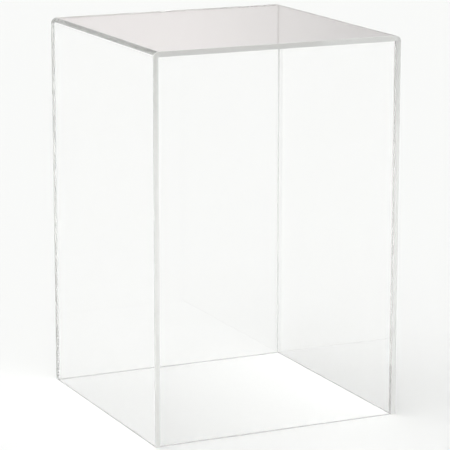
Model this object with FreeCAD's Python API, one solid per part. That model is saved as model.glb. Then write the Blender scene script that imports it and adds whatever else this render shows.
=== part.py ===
"""Clear acrylic display plinth: a five-sided box, open underneath.

One sheet is heat-bent twice into an upside-down U: left wall, top and right wall. Two flat panels close
its front and back. Each is held by a seam of cured acrylic cement, which fills the thin gap round the
panel and runs out as a fine fillet in the inside corner.

Frame: millimetres, +Z up, front towards -Y. The origin is the middle of the bottom rim's outline.
"""
import FreeCAD, Part
import os

from FreeCAD import Vector

# Driving dimensions. The inside is 12 x 12 x 18 inches, in quarter-inch sheet. Places nearer than
# SAME_PLACE count as the same.
INCH = 25.4
INSIDE_WIDTH = 12 * INCH
INSIDE_DEPTH = 12 * INCH
INSIDE_HEIGHT = 18 * INCH
SHEET = 0.25 * INCH
BEND_INSIDE_RADIUS = 0.8
CEMENT_GAP = 0.15
FILLET_LEG = 0.6
EASED_EDGE = 0.4
SAME_PLACE = 0.01

# Sizes that follow from them.
BEND_OUTSIDE_RADIUS = BEND_INSIDE_RADIUS + SHEET
OUTSIDE_WIDTH = INSIDE_WIDTH + 2 * SHEET
OUTSIDE_DEPTH = INSIDE_DEPTH + 2 * SHEET
OUTSIDE_HEIGHT = INSIDE_HEIGHT + SHEET
QUARTER_TURN_MIDDLE = 0.5 ** 0.5


def arch_wire(width, height, corner_radius):
    """The closed outline, in the XZ plane, of a flat-footed arch with two rounded top corners."""
    half = width / 2
    shoulder = height - corner_radius
    inset = half - corner_radius
    diagonal = corner_radius * QUARTER_TURN_MIDDLE
    left_foot = Vector(-half, 0, 0)
    left_shoulder = Vector(-half, 0, shoulder)
    left_middle = Vector(-inset - diagonal, 0, shoulder + diagonal)
    left_top = Vector(-inset, 0, height)
    right_top = Vector(inset, 0, height)
    right_middle = Vector(inset + diagonal, 0, shoulder + diagonal)
    right_shoulder = Vector(half, 0, shoulder)
    right_foot = Vector(half, 0, 0)
    edges = [
        Part.makeLine(left_foot, left_shoulder),
        Part.Arc(left_shoulder, left_middle, left_top).toShape(),
        Part.makeLine(left_top, right_top),
        Part.Arc(right_top, right_middle, right_shoulder).toShape(),
        Part.makeLine(right_shoulder, right_foot),
        Part.makeLine(right_foot, left_foot),
    ]
    return Part.Wire(edges)


def arch_block(width, height, corner_radius, front, back):
    """A solid arch that fills the depth from front to back."""
    outline = arch_wire(width, height, corner_radius)
    outline.translate(Vector(0, front, 0))
    return Part.Face(outline).extrude(Vector(0, back - front, 0))


def inner_block(front, back):
    """The space inside the bent sheet, from front to back."""
    return arch_block(INSIDE_WIDTH, INSIDE_HEIGHT, BEND_INSIDE_RADIUS, front, back)


def panel_block(front, back):
    """The outline of a flat panel: the inside of the bent sheet, less the cement gap all round."""
    width = INSIDE_WIDTH - 2 * CEMENT_GAP
    height = INSIDE_HEIGHT - CEMENT_GAP
    corner = BEND_INSIDE_RADIUS - CEMENT_GAP
    return arch_block(width, height, corner, front, back)


def ease(solid, exposed):
    """Breaks the sharp edges for which exposed(edge) is true."""
    edges = [edge for edge in solid.Edges if exposed(edge)]
    return solid.makeFillet(EASED_EDGE, edges)


def lies_on(edge, axis, value):
    """True if the whole edge lies in the plane where the given coordinate has this value."""
    box = edge.BoundBox
    low = getattr(box, axis + "Min")
    high = getattr(box, axis + "Max")
    return abs(low - value) < SAME_PLACE and abs(high - value) < SAME_PLACE


def on_outer_arch(edge):
    """True if the edge is on the bent sheet's outer skin: a leg, a bend or the top."""
    box = edge.BoundBox
    wide = max(abs(box.XMin), abs(box.XMax)) > OUTSIDE_WIDTH / 2 - SAME_PLACE
    high = box.ZMax > OUTSIDE_HEIGHT - SAME_PLACE
    return wide or high


def bent_sheet():
    """The left wall, top and right wall in one piece, its cut edges eased on the outside."""
    front = -OUTSIDE_DEPTH / 2
    back = OUTSIDE_DEPTH / 2
    outer = arch_block(OUTSIDE_WIDTH, OUTSIDE_HEIGHT, BEND_OUTSIDE_RADIUS, front, back)
    sheet = outer.cut(inner_block(front, back))

    def exposed(edge):
        on_cut_face = lies_on(edge, "Y", front) or lies_on(edge, "Y", back)
        return on_cut_face and on_outer_arch(edge) and not lies_on(edge, "Z", 0)

    return ease(sheet, exposed)


def flat_panel(side):
    """The front panel (side -1) or the back panel (side 1), flush with the sheet's cut edges."""
    outer_face = side * OUTSIDE_DEPTH / 2
    inner_face = side * INSIDE_DEPTH / 2
    front = min(outer_face, inner_face)
    back = max(outer_face, inner_face)
    return panel_block(front, back)


def fillet_section(corner, along_wall, along_panel):
    """The bead's section: two legs from the corner, joined by a hollow quarter circle."""
    on_wall = corner + along_wall * FILLET_LEG
    on_panel = corner + along_panel * FILLET_LEG
    centre = on_wall + along_panel * FILLET_LEG
    towards_corner = (along_wall + along_panel) * -QUARTER_TURN_MIDDLE
    middle = centre + towards_corner * FILLET_LEG
    edges = [
        Part.makeLine(corner, on_wall),
        Part.Arc(on_wall, middle, on_panel).toShape(),
        Part.makeLine(on_panel, corner),
    ]
    return Part.Face(Part.Wire(edges))


def fillet_bead(side):
    """The fillet up both legs and along under the top, mitred where it turns."""
    inner_face = side * INSIDE_DEPTH / 2
    inwards = Vector(0, -side, 0)
    half = INSIDE_WIDTH / 2
    runs = []
    for leg in (-1, 1):
        section = fillet_section(Vector(leg * half, inner_face, 0), inwards, Vector(-leg, 0, 0))
        runs.append(section.extrude(Vector(0, 0, INSIDE_HEIGHT)))
    under_top = fillet_section(Vector(-half, inner_face, INSIDE_HEIGHT), inwards, Vector(0, 0, -1))
    runs.append(under_top.extrude(Vector(INSIDE_WIDTH, 0, 0)))
    bead = runs[0].multiFuse(runs[1:])
    bead_back = inner_face - side * FILLET_LEG
    return bead.common(inner_block(min(inner_face, bead_back), max(inner_face, bead_back)))


def cement_seam(side):
    """The cured cement round one panel: the film in the gap and the fillet bead inside the corner."""
    outer_face = side * OUTSIDE_DEPTH / 2
    inner_face = side * INSIDE_DEPTH / 2
    front = min(outer_face, inner_face)
    back = max(outer_face, inner_face)
    film = inner_block(front, back).cut(panel_block(front, back))
    return film.fuse(fillet_bead(side)).removeSplitter()


NODES = {
    "bent_sheet": bent_sheet(),
    "front_panel": flat_panel(-1),
    "back_panel": flat_panel(1),
    "front_cement_seam": cement_seam(-1),
    "back_cement_seam": cement_seam(1),
}

os.makedirs("parts", exist_ok=True)
for name, shape in NODES.items():
    shape.exportStep("parts/" + name + ".step")
    print(name, "valid", shape.isValid(), "solids", len(shape.Solids), "volume mm3", round(shape.Volume, 1))
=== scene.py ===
"""The looks of a clear acrylic display plinth: a bent sheet, two cemented panels and their cement seams.

Every piece is in metres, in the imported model's frame: +Z up, front towards -Y.
"""

import math

import bmesh
import bpy
from mathutils import Matrix, Vector


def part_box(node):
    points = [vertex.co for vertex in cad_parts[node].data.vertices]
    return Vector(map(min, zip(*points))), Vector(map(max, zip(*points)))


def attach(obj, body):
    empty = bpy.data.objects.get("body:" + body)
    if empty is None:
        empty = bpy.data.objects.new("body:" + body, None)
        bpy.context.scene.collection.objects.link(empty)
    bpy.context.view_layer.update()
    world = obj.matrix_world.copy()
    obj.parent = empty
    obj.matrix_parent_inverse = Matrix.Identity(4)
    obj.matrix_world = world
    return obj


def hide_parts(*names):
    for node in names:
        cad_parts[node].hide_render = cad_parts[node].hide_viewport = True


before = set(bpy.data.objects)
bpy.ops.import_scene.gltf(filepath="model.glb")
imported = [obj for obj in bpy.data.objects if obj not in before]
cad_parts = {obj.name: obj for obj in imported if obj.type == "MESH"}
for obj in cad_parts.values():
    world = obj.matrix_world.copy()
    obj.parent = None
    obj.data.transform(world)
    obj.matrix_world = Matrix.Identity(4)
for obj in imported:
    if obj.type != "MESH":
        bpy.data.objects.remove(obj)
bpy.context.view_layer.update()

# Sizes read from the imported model.
SHEET_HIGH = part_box("bent_sheet")[1]
PANEL_LOW, PANEL_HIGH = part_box("front_panel")
SEAM_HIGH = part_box("front_cement_seam")[1]
HALF_WIDTH = SHEET_HIGH.x
HALF_DEPTH = SHEET_HIGH.y
HEIGHT = SHEET_HIGH.z
THICKNESS = PANEL_HIGH.y - PANEL_LOW.y
CEMENT_GAP = HALF_WIDTH - THICKNESS - PANEL_HIGH.x
FILLET_LEG = SEAM_HIGH.y - PANEL_HIGH.y

# Sizes that the boxes can't tell.
BEND_INSIDE_RADIUS = 0.0008
EASED_EDGE = 0.0005
BEND_STEPS = 40
EASE_STEPS = 5
FILLET_STEPS = 6
SAME_PLACE = 1e-7
FLAT_ENOUGH = 0.99999
SMOOTH_ENOUGH = 0.6

# Acrylic, and the matt bloom on its cut edges, which changes from LOWER to UPPER between two heights. The
# matt share grows towards the top, and its colour greys there as a painted shade.
ACRYLIC_IOR = 1.49
SCUFF_SCALE = 40
SCUFF_DETAIL = 4
SCUFFED_NOISE = (0.5, 0.8)
BLOOM_AND_PAINTED_SHADE_STARTS = 0.6 * HEIGHT
BLOOM_AND_PAINTED_SHADE_ENDS = HEIGHT - THICKNESS
LOWER_BLOOM = (0.88, 0.885, 0.87)
# UPPER is the bloom colour with painted shade: greyer towards the top, not a colour of the acrylic itself.
UPPER_BLOOM_PAINTED_SHADE = (0.65, 0.655, 0.64)
LEAST_BLOOM = 0.45
MORE_BLOOM = 0.15

# The stage. Each row of light is (elevation in degrees, brightness, tint).
VIEW_AZIMUTH = math.radians(25.10)
KEY_LIGHT = 3.03
WHITE = (1, 1, 1)
PINKISH = (1, 0.935, 0.925)
FLOOR = (0.677, 0.682, 0.674)
FLOOR_RADIUS = 14
FLOOR_GAP = 0.0002
SWEEP_LIGHT = [
    (0, 1.1, WHITE),
    (6, 0.77, PINKISH),
    (9, 0.77, PINKISH),
    (18, 0.65, WHITE),
    (28, 0.45, WHITE),
    (38, 0.12, WHITE),
]
SHADED_LIGHT = [
    (0, 0.8, WHITE),
    (6, 0.46, PINKISH),
    (9, 0.46, PINKISH),
    (18, 0.5, WHITE),
    (28, 0.12, WHITE),
]
ROOM_LIGHT = [
    (0, 0.85, WHITE),
    (9, 0.8, WHITE),
    (18, 0.8, WHITE),
    (22, 0.6, WHITE),
    (34, 0.52, WHITE),
    (45, 0.12, WHITE),
]

# Where the lights meet: start and end of each fade, along a unit direction. The sweep lies along
# VIEW_AZIMUTH, and stays there when the camera moves.
DIMMER_TO_RIGHT = (-0.03, 0.08)
SWEEP_AHEAD = (0.80, 0.95)
KEY_TO_LEFT = (0.25, -0.1)
KEY_BREADTH = (0.8, 0.6)
KEY_ELEVATION = (0.3, 0.6)

# The camera: a long lens, its frame 450 pixels wide, and the origin's place in its right, ahead and up.
IMAGE_WIDTH = 450
FOCAL_PIXELS = 2440
VIEW_PITCH = math.radians(12.526)
VIEW_ROLL = math.radians(0.03)
VIEW_OFFSET = Vector((-0.0043, 3.0410, -0.2131))
CLEAR_BOUNCES = 512

# Numbers of the materials on each piece.
CLEAR, CUT, BONDED, FOOT = range(4)


def arch(half_width, top, radius, foot, steps):
    """Points (x, z) up the left side, round both top corners and down the right side, from foot to foot."""
    points = [(-half_width, foot)]
    for corner in (-1, 1):
        for step in range(steps + 1):
            turn = math.pi / 2 * step / steps
            along = math.cos(turn) if corner < 0 else math.sin(turn)
            up = math.sin(turn) if corner < 0 else math.cos(turn)
            x = corner * (half_width - radius + radius * along)
            points.append((x, top - radius + radius * up))
    points.append((half_width, foot))
    return points


def is_flat(normal):
    """True for a face that looks straight along an axis, as every flat face here does."""
    return max(abs(value) for value in normal) > FLAT_ENOUGH


def shade_round(mesh):
    """Flat faces shade flat right up to their edges, and bends and eased edges shade as true curves."""
    around = [[] for _ in mesh.vertices]
    for polygon in mesh.polygons:
        for number in polygon.vertices:
            around[number].append(polygon)
    normals = []
    for polygon in mesh.polygons:
        own = polygon.normal.copy()
        for number in polygon.vertices:
            if is_flat(own):
                normals.append(own)
                continue
            smooth = [other for other in around[number] if other.normal.dot(own) > SMOOTH_ENOUGH]
            flats = [other for other in smooth if is_flat(other.normal)]
            total = Vector((0, 0, 0))
            for other in flats or smooth:
                total += other.normal * other.area ** 2
            normals.append(total.normalized())
    mesh.polygons.foreach_set("use_smooth", [True] * len(mesh.polygons))
    mesh.normals_split_custom_set(normals)


def build_piece(name, corners, faces, eased, materials):
    """A closed mesh from corners, (corner numbers, material number) faces and the edges to ease."""
    work = bmesh.new()
    found = {}
    points = []
    for corner in corners:
        place = tuple(round(value / SAME_PLACE) for value in corner)
        if place not in found:
            found[place] = work.verts.new(corner)
        points.append(found[place])
    for numbers, material in faces:
        loop = list(dict.fromkeys(points[number] for number in numbers))
        if len(loop) > 2:
            face = work.faces.new(loop)
            face.material_index = material
    edges = []
    for first, second in eased:
        edge = work.edges.get((points[first], points[second]))
        if edge is not None:
            edges.append(edge)
    if edges:
        bmesh.ops.bevel(
            work,
            geom=edges,
            offset=EASED_EDGE,
            offset_type="OFFSET",
            segments=EASE_STEPS,
            profile=0.5,
            affect="EDGES",
            clamp_overlap=True,
            material=CUT,
        )
    bmesh.ops.recalc_face_normals(work, faces=work.faces)
    mesh = bpy.data.meshes.new(name)
    work.to_mesh(mesh)
    work.free()
    for material in materials:
        mesh.materials.append(material)
    shade_round(mesh)
    piece = bpy.data.objects.new(name, mesh)
    bpy.context.scene.collection.objects.link(piece)
    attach(piece, "root")
    return piece


def sheet_section(inset):
    """The bent sheet's section as (y, depth from the outer skin) points, drawn in all round by inset."""
    end = HALF_DEPTH - inset
    bond = HALF_DEPTH - THICKNESS - FILLET_LEG
    radius = EASED_EDGE - inset
    points = []
    for side in (-1, 1):
        for step in range(EASE_STEPS + 1):
            turn = math.pi / 2 * step / EASE_STEPS
            along = math.cos(turn) if side < 0 else math.sin(turn)
            out = math.sin(turn) if side < 0 else math.cos(turn)
            points.append((side * (end - radius + radius * along), inset + radius - radius * out))
    deep = THICKNESS - inset
    return points + [(end, deep), (bond, deep), (-bond, deep), (-end, deep)]


def sheet_stations():
    """Where the section stands along the sheet, from foot to foot.

    Each row is (inset, centre x, centre z, outward x, outward z).
    """
    radius = THICKNESS + BEND_INSIDE_RADIUS
    left = []
    for step in range(EASE_STEPS, -1, -1):
        turn = math.pi / 2 * step / EASE_STEPS
        inset = EASED_EDGE * (1 - math.cos(turn))
        left.append((inset, radius - HALF_WIDTH, EASED_EDGE * (1 - math.sin(turn)), -1, 0))
    for step in range(BEND_STEPS + 1):
        turn = math.pi / 2 * step / BEND_STEPS
        left.append((0, radius - HALF_WIDTH, HEIGHT - radius, -math.cos(turn), math.sin(turn)))
    right = [(inset, -x, z, -out_x, out_z) for inset, x, z, out_x, out_z in reversed(left)]
    return left + right


def bent_sheet(materials):
    """Left wall, top and right wall: one sheet bent twice, its cut edges and foot rims eased."""
    radius = THICKNESS + BEND_INSIDE_RADIUS
    corners = []
    stations = sheet_stations()
    for inset, x, z, out_x, out_z in stations:
        for y, depth in sheet_section(inset):
            corners.append((x + (radius - depth) * out_x, y, z + (radius - depth) * out_z))
    count = len(corners) // len(stations)
    kinds = [CUT] * EASE_STEPS + [CLEAR] + [CUT] * (EASE_STEPS + 1) + [BONDED, CLEAR, BONDED, CUT]
    faces = []
    for station in range(len(stations) - 1):
        low = station * count
        high = low + count
        for step, material in enumerate(kinds):
            after = (step + 1) % count
            faces.append(((low + step, low + after, high + after, high + step), material))
    faces.append((list(range(count)), FOOT))
    faces.append((list(range(len(corners) - count, len(corners))), FOOT))
    return build_piece("bent_sheet_acrylic", corners, faces, [], materials)


def flat_panel(name, side, materials):
    """The front panel (side -1) or back panel (side 1), bonded round its rim and under the fillet bead."""
    half = HALF_WIDTH - THICKNESS - CEMENT_GAP
    top = HEIGHT - THICKNESS - CEMENT_GAP
    outline = arch(half, top, BEND_INSIDE_RADIUS - CEMENT_GAP, 0, BEND_STEPS)
    count = len(outline)
    outer_face = side * HALF_DEPTH
    inner_face = side * (HALF_DEPTH - THICKNESS)
    edge = half + CEMENT_GAP - FILLET_LEG
    crown = top + CEMENT_GAP - FILLET_LEG
    field = [(-edge, 0), (-edge, crown), (edge, crown), (edge, 0)]
    corners = [(x, outer_face, z) for x, z in outline]
    corners += [(x, inner_face, z) for x, z in outline]
    corners += [(x, inner_face, z) for x, z in field]
    low_left, high_left, high_right, low_right = range(2 * count, 2 * count + 4)
    left_end = count + BEND_STEPS + 1
    last = 2 * count - 1
    faces = [(list(range(count)), CLEAR), ([low_left, high_left, high_right, low_right], CLEAR)]
    for step in range(count - 1):
        faces.append(((step, step + 1, count + step + 1, count + step), BONDED))
    faces.append(((count, count + 1, high_left, low_left), BONDED))
    faces.append((list(range(count + 1, left_end + 1)) + [high_left], BONDED))
    faces.append(((left_end, left_end + 1, high_right, high_left), BONDED))
    faces.append((list(range(left_end + 1, last)) + [high_right], BONDED))
    faces.append(((last - 1, last, low_right, high_right), BONDED))
    faces.append(((0, count, low_left, low_right, last, count - 1), FOOT))
    eased = [(0, count - 1), (low_left, low_right)]
    return build_piece(name, corners, faces, eased, materials)


def cement_seam(name, side, materials):
    """The cured cement round one panel: the film in the gap and the hollow fillet bead in the corner."""
    outer_face = HALF_DEPTH
    inner_face = HALF_DEPTH - THICKNESS
    section = [(CEMENT_GAP, outer_face), (0, outer_face)]
    for step in range(FILLET_STEPS + 1):
        turn = math.pi / 2 * step / FILLET_STEPS
        section.append((FILLET_LEG * (1 - math.cos(turn)), inner_face - FILLET_LEG * (1 - math.sin(turn))))
    section.append((CEMENT_GAP, inner_face))
    kinds = [CUT, BONDED] + [CLEAR] * FILLET_STEPS + [BONDED, BONDED]
    corners = []
    for depth, y in section:
        radius = max(BEND_INSIDE_RADIUS - depth, 0)
        half = HALF_WIDTH - THICKNESS - depth
        top = HEIGHT - THICKNESS - depth
        corners += [(x, side * y, z) for x, z in arch(half, top, radius, 0, BEND_STEPS)]
    count = len(corners) // len(section)
    faces = []
    for row, material in enumerate(kinds):
        first = row * count
        second = (row + 1) % len(section) * count
        for step in range(count - 1):
            faces.append(((first + step, first + step + 1, second + step + 1, second + step), material))
    for foot in (0, count - 1):
        faces.append(([row * count + foot for row in range(len(section))], CUT))
    return build_piece(name, corners, faces, [], materials)


def add_nodes(tree, kinds):
    """New nodes of these kinds, in order."""
    return [tree.nodes.new("ShaderNode" + kind) for kind in kinds]


def dot(tree, vector, axis):
    """How far a vector runs along an axis."""
    node = tree.nodes.new("ShaderNodeVectorMath")
    node.operation = "DOT_PRODUCT"
    node.inputs[1].default_value = axis
    tree.links.new(vector, node.inputs[0])
    return node.outputs["Value"]


def maths(tree, operation, first, second=None):
    """One sum on a socket and, if given, a second socket or number."""
    node = tree.nodes.new("ShaderNodeMath")
    node.operation = operation
    tree.links.new(first, node.inputs[0])
    if isinstance(second, float):
        node.inputs[1].default_value = second
    elif second is not None:
        tree.links.new(second, node.inputs[1])
    return node.outputs["Value"]


def fade(tree, value, start, end):
    """0 at start and 1 at end, with a smooth step between."""
    node = tree.nodes.new("ShaderNodeMapRange")
    node.interpolation_type = "SMOOTHSTEP"
    node.inputs["From Min"].default_value = start
    node.inputs["From Max"].default_value = end
    tree.links.new(value, node.inputs["Value"])
    return node.outputs["Result"]


def mix(tree, share, first, second):
    """Blends two colours, each a tuple or a socket, by a share from 0 to 1."""
    node = tree.nodes.new("ShaderNodeMixRGB")
    for colour, socket in ((first, node.inputs["Color1"]), (second, node.inputs["Color2"])):
        if isinstance(colour, tuple):
            socket.default_value = (*colour, 1)
        else:
            tree.links.new(colour, socket)
    tree.links.new(share, node.inputs["Fac"])
    return node.outputs["Color"]


def set_ramp(ramp, stops):
    """Gives a colour ramp these (position, colour) stops."""
    elements = ramp.color_ramp.elements
    for number, (position, colour) in enumerate(stops):
        stop = elements[number] if number < 2 else elements.new(position)
        stop.position = position
        stop.color = (*colour, 1)


def shader_tree(name):
    """A new node material and its tree, emptied."""
    material = bpy.data.materials.new(name)
    material.use_nodes = True
    material.node_tree.nodes.clear()
    return material, material.node_tree


def clear_material(name, tint, roughness, scuff):
    """Clear acrylic, which dims light a little at each surface. Scuff is how far the polish varies."""
    material, tree = shader_tree(name)
    output = tree.nodes.new("ShaderNodeOutputMaterial")
    shader = tree.nodes.new("ShaderNodeBsdfGlass")
    place = tree.nodes.new("ShaderNodeTexCoord")
    noise = tree.nodes.new("ShaderNodeTexNoise")
    spread = tree.nodes.new("ShaderNodeMapRange")
    shader.inputs["Color"].default_value = (*tint, 1)
    shader.inputs["IOR"].default_value = ACRYLIC_IOR
    noise.inputs["Scale"].default_value = SCUFF_SCALE
    noise.inputs["Detail"].default_value = SCUFF_DETAIL
    spread.inputs["From Min"].default_value, spread.inputs["From Max"].default_value = SCUFFED_NOISE
    spread.inputs["To Min"].default_value = roughness
    spread.inputs["To Max"].default_value = roughness + scuff
    link = tree.links.new
    link(place.outputs["Object"], noise.inputs["Vector"])
    link(noise.outputs["Fac"], spread.inputs["Value"])
    link(spread.outputs["Result"], shader.inputs["Roughness"])
    link(shader.outputs["BSDF"], output.inputs["Surface"])
    return material


def cut_material():
    """The machined cut edges: clear behind a fine matt bloom that is thicker round the top, where a painted
    shade also greys it.
    """
    material = clear_material("machined_cut_edge", tint=(0.975, 0.976, 0.972), roughness=0.06, scuff=0.03)
    tree = material.node_tree
    link = tree.links.new
    output = next(node for node in tree.nodes if node.type == "OUTPUT_MATERIAL")
    glass = output.inputs["Surface"].links[0].from_node
    matt, join, place, split = add_nodes(tree, ["BsdfDiffuse", "MixShader", "TexCoord", "SeparateXYZ"])
    link(place.outputs["Object"], split.inputs["Vector"])
    bloom_and_painted_shade_rise = fade(tree, split.outputs["Z"], BLOOM_AND_PAINTED_SHADE_STARTS, BLOOM_AND_PAINTED_SHADE_ENDS)
    bloom = maths(tree, "ADD", maths(tree, "MULTIPLY", bloom_and_painted_shade_rise, MORE_BLOOM), LEAST_BLOOM)
    # Painted shade: the matt colour greys towards the top of the cut edges.
    link(mix(tree, bloom_and_painted_shade_rise, LOWER_BLOOM, UPPER_BLOOM_PAINTED_SHADE), matt.inputs["Color"])
    link(bloom, join.inputs["Fac"])
    link(glass.outputs["BSDF"], join.inputs[1])
    link(matt.outputs["BSDF"], join.inputs[2])
    link(join.outputs["Shader"], output.inputs["Surface"])
    return material


def bonded_material():
    """Faces that cement joins to the next piece: the light goes straight on."""
    material, tree = shader_tree("bonded_acrylic")
    output = tree.nodes.new("ShaderNodeOutputMaterial")
    through = tree.nodes.new("ShaderNodeBsdfTransparent")
    through.inputs["Color"].default_value = (0.995, 0.995, 0.995, 1)
    tree.links.new(through.outputs["BSDF"], output.inputs["Surface"])
    return material


acrylic = clear_material("clear_acrylic", tint=(0.9989, 0.9990, 0.9988), roughness=0.0, scuff=0.004)
cut_acrylic = cut_material()
foot_acrylic = clear_material("polished_foot_rim", tint=(0.99, 0.99, 0.989), roughness=0.0, scuff=0.01)
bonded = bonded_material()
cement = clear_material("acrylic_cement", tint=(0.995, 0.996, 0.9945), roughness=0.02, scuff=0.05)

sheet = bent_sheet([acrylic, cut_acrylic, bonded, foot_acrylic])
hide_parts("bent_sheet")
for side, end in ((-1, "front"), (1, "back")):
    panel = flat_panel(end + "_panel_acrylic", side, [acrylic, cut_acrylic, bonded, foot_acrylic])
    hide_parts(end + "_panel")
    seam = cement_seam(end + "_cement", side, [cement, cement, bonded])
    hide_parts(end + "_cement_seam")


def by_height(stops):
    """Ramp stops from rows of light, as shares of the key light."""
    return [
        (math.sin(math.radians(elevation)), [brightness / KEY_LIGHT * part for part in tint])
        for elevation, brightness, tint in stops
    ]


def pale_floor():
    """A plain pale floor, the same matt colour all over."""
    work = bmesh.new()
    bmesh.ops.create_circle(work, cap_ends=True, segments=64, radius=FLOOR_RADIUS)
    mesh = bpy.data.meshes.new("studio_floor")
    work.to_mesh(mesh)
    work.free()
    material, tree = shader_tree("pale_floor")
    output, shader = add_nodes(tree, ["OutputMaterial", "BsdfDiffuse"])
    shader.inputs["Color"].default_value = (*FLOOR, 1)
    tree.links.new(shader.outputs["BSDF"], output.inputs["Surface"])
    mesh.materials.append(material)
    floor = bpy.data.objects.new("studio_floor", mesh)
    floor.location.z = -FLOOR_GAP
    bpy.context.scene.collection.objects.link(floor)


def soft_world():
    """A sweep ahead, dimmer to the right, a room round the sides and a broad key light high on the left."""
    world = bpy.data.worlds.new("soft_studio")
    world.use_nodes = True
    tree = world.node_tree
    tree.nodes.clear()
    link = tree.links.new
    output, light, place, split = add_nodes(tree, ["OutputWorld", "Background", "TexCoord", "SeparateXYZ"])
    direction = place.outputs["Generated"]
    link(direction, split.inputs["Vector"])
    tones = []
    for stops in (SWEEP_LIGHT, SHADED_LIGHT, ROOM_LIGHT):
        ramp = tree.nodes.new("ShaderNodeValToRGB")
        set_ramp(ramp, by_height(stops))
        link(split.outputs["Z"], ramp.inputs["Fac"])
        tones.append(ramp.outputs["Color"])
    across = dot(tree, direction, (math.cos(VIEW_AZIMUTH), -math.sin(VIEW_AZIMUTH), 0))
    ahead = dot(tree, direction, (math.sin(VIEW_AZIMUTH), math.cos(VIEW_AZIMUTH), 0))
    sweep = mix(tree, fade(tree, across, *DIMMER_TO_RIGHT), tones[0], tones[1])
    around = mix(tree, fade(tree, ahead, *SWEEP_AHEAD), tones[2], sweep)
    beside = maths(tree, "ABSOLUTE", split.outputs["Y"])
    leftwards = fade(tree, split.outputs["X"], *KEY_TO_LEFT)
    key = maths(tree, "MULTIPLY", leftwards, fade(tree, beside, *KEY_BREADTH))
    key = maths(tree, "MULTIPLY", key, fade(tree, split.outputs["Z"], *KEY_ELEVATION))
    light.inputs["Strength"].default_value = KEY_LIGHT
    link(mix(tree, key, around, WHITE), light.inputs["Color"])
    link(light.outputs["Background"], output.inputs["Surface"])
    bpy.context.scene.world = world


def camera():
    """A long lens, a little above and to the left of the plinth's front."""
    turn = Matrix.Rotation(VIEW_ROLL, 3, "Y") @ Matrix.Rotation(VIEW_PITCH, 3, "X")
    turn = turn @ Matrix.Rotation(VIEW_AZIMUTH, 3, "Z")
    right, ahead, up = turn[0], turn[1], turn[2]
    eye = bpy.data.objects.new("camera", bpy.data.cameras.new("camera"))
    eye.data.sensor_width = 36
    eye.data.lens = eye.data.sensor_width * FOCAL_PIXELS / IMAGE_WIDTH
    eye.data.clip_end = 60
    eye.matrix_world = Matrix((right, up, -ahead)).transposed().to_4x4()
    eye.location = -(turn.transposed() @ VIEW_OFFSET)
    bpy.context.scene.collection.objects.link(eye)
    bpy.context.scene.camera = eye


pale_floor()
soft_world()
camera()

scene = bpy.context.scene
scene.view_settings.view_transform = "Standard"
scene.cycles.max_bounces = CLEAR_BOUNCES
scene.cycles.transmission_bounces = CLEAR_BOUNCES
scene.cycles.glossy_bounces = CLEAR_BOUNCES
scene.cycles.diffuse_bounces = 6
scene.cycles.blur_glossy = 0.1
scene.cycles.transparent_max_bounces = 96
